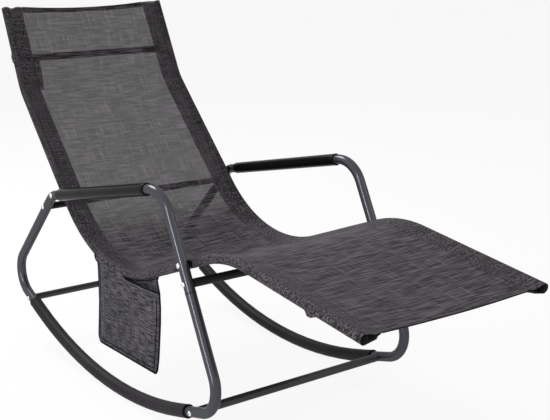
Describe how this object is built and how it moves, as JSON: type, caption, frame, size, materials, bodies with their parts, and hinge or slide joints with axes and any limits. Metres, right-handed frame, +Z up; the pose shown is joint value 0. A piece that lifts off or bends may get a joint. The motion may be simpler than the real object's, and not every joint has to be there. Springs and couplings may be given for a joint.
{
  "type": "rocking chaise lounge",
  "caption": "Rocking chaise lounge: an S-shaped seat frame with a sleeved mesh sling and a side pocket, held between two tubular side frames on curved rocker rails.",
  "frame": {"origin": "on the floor, in the middle of the lounge's length and width", "axes": "+X towards the foot end, +Y to the sitter's left, +Z up"},
  "size_m": [1.5192, 0.5932, 0.9142],
  "materials": {
    "slate_tube": "slate grey powder coat, satin",
    "charcoal_tube": "charcoal powder coat, satin",
    "grip_foam": "matt closed-cell foam",
    "black_plastic": "moulded, matt",
    "zinc_fastener": "bright zinc plate",
    "sling_fabric": "coated mesh weave, matt",
    "pocket_fabric": "coated mesh weave with black bound edges"
  },
  "bodies": {
    "root": {"back_cross_tube": "charcoal_tube", "foot_spreader_bar": "charcoal_tube", "front_cross_tube": "charcoal_tube", "head_spreader_bar": "charcoal_tube", "left_arm_grip": "grip_foam", "left_back_cross_tube_bolt": "zinc_fastener", "left_back_cross_tube_plug": "zinc_fastener", "left_foot_cap": "black_plastic", "left_foot_spreader_bar_screw": "zinc_fastener", "left_frame_hoop": "slate_tube", "left_front_bush": "black_plastic", "left_front_cross_tube_bolt": "zinc_fastener", "left_front_cross_tube_plug": "zinc_fastener", "left_head_cap": "black_plastic", "left_head_spreader_bar_screw": "zinc_fastener", "left_lower_leg": "slate_tube", "left_middle_cross_tube_bolt": "zinc_fastener", "left_middle_cross_tube_plug": "zinc_fastener", "left_rear_bush": "black_plastic", "left_rear_cross_tube_bolt": "zinc_fastener", "left_rear_cross_tube_plug": "zinc_fastener", "left_rocker_rail": "charcoal_tube", "left_seat_back_bolt": "zinc_fastener", "left_seat_back_nut": "zinc_fastener", "left_seat_back_spacer": "black_plastic", "left_seat_front_bolt": "zinc_fastener", "left_seat_front_nut": "zinc_fastener", "left_seat_front_spacer": "black_plastic", "left_seat_rail": "charcoal_tube", "middle_cross_tube": "charcoal_tube", "rear_cross_tube": "charcoal_tube", "right_arm_grip": "grip_foam", "right_back_cross_tube_bolt": "zinc_fastener", "right_back_cross_tube_plug": "zinc_fastener", "right_foot_cap": "black_plastic", "right_foot_spreader_bar_screw": "zinc_fastener", "right_frame_hoop": "slate_tube", "right_front_bush": "black_plastic", "right_front_cross_tube_bolt": "zinc_fastener", "right_front_cross_tube_plug": "zinc_fastener", "right_head_cap": "black_plastic", "right_head_spreader_bar_screw": "zinc_fastener", "right_lower_leg": "slate_tube", "right_middle_cross_tube_bolt": "zinc_fastener", "right_middle_cross_tube_plug": "zinc_fastener", "right_rear_bush": "black_plastic", "right_rear_cross_tube_bolt": "zinc_fastener", "right_rear_cross_tube_plug": "zinc_fastener", "right_rocker_rail": "charcoal_tube", "right_seat_back_bolt": "zinc_fastener", "right_seat_back_nut": "zinc_fastener", "right_seat_back_spacer": "black_plastic", "right_seat_front_bolt": "zinc_fastener", "right_seat_front_nut": "zinc_fastener", "right_seat_front_spacer": "black_plastic", "right_seat_rail": "charcoal_tube", "side_pocket": "pocket_fabric", "sling": "sling_fabric"}
  },
  "joints": []
}
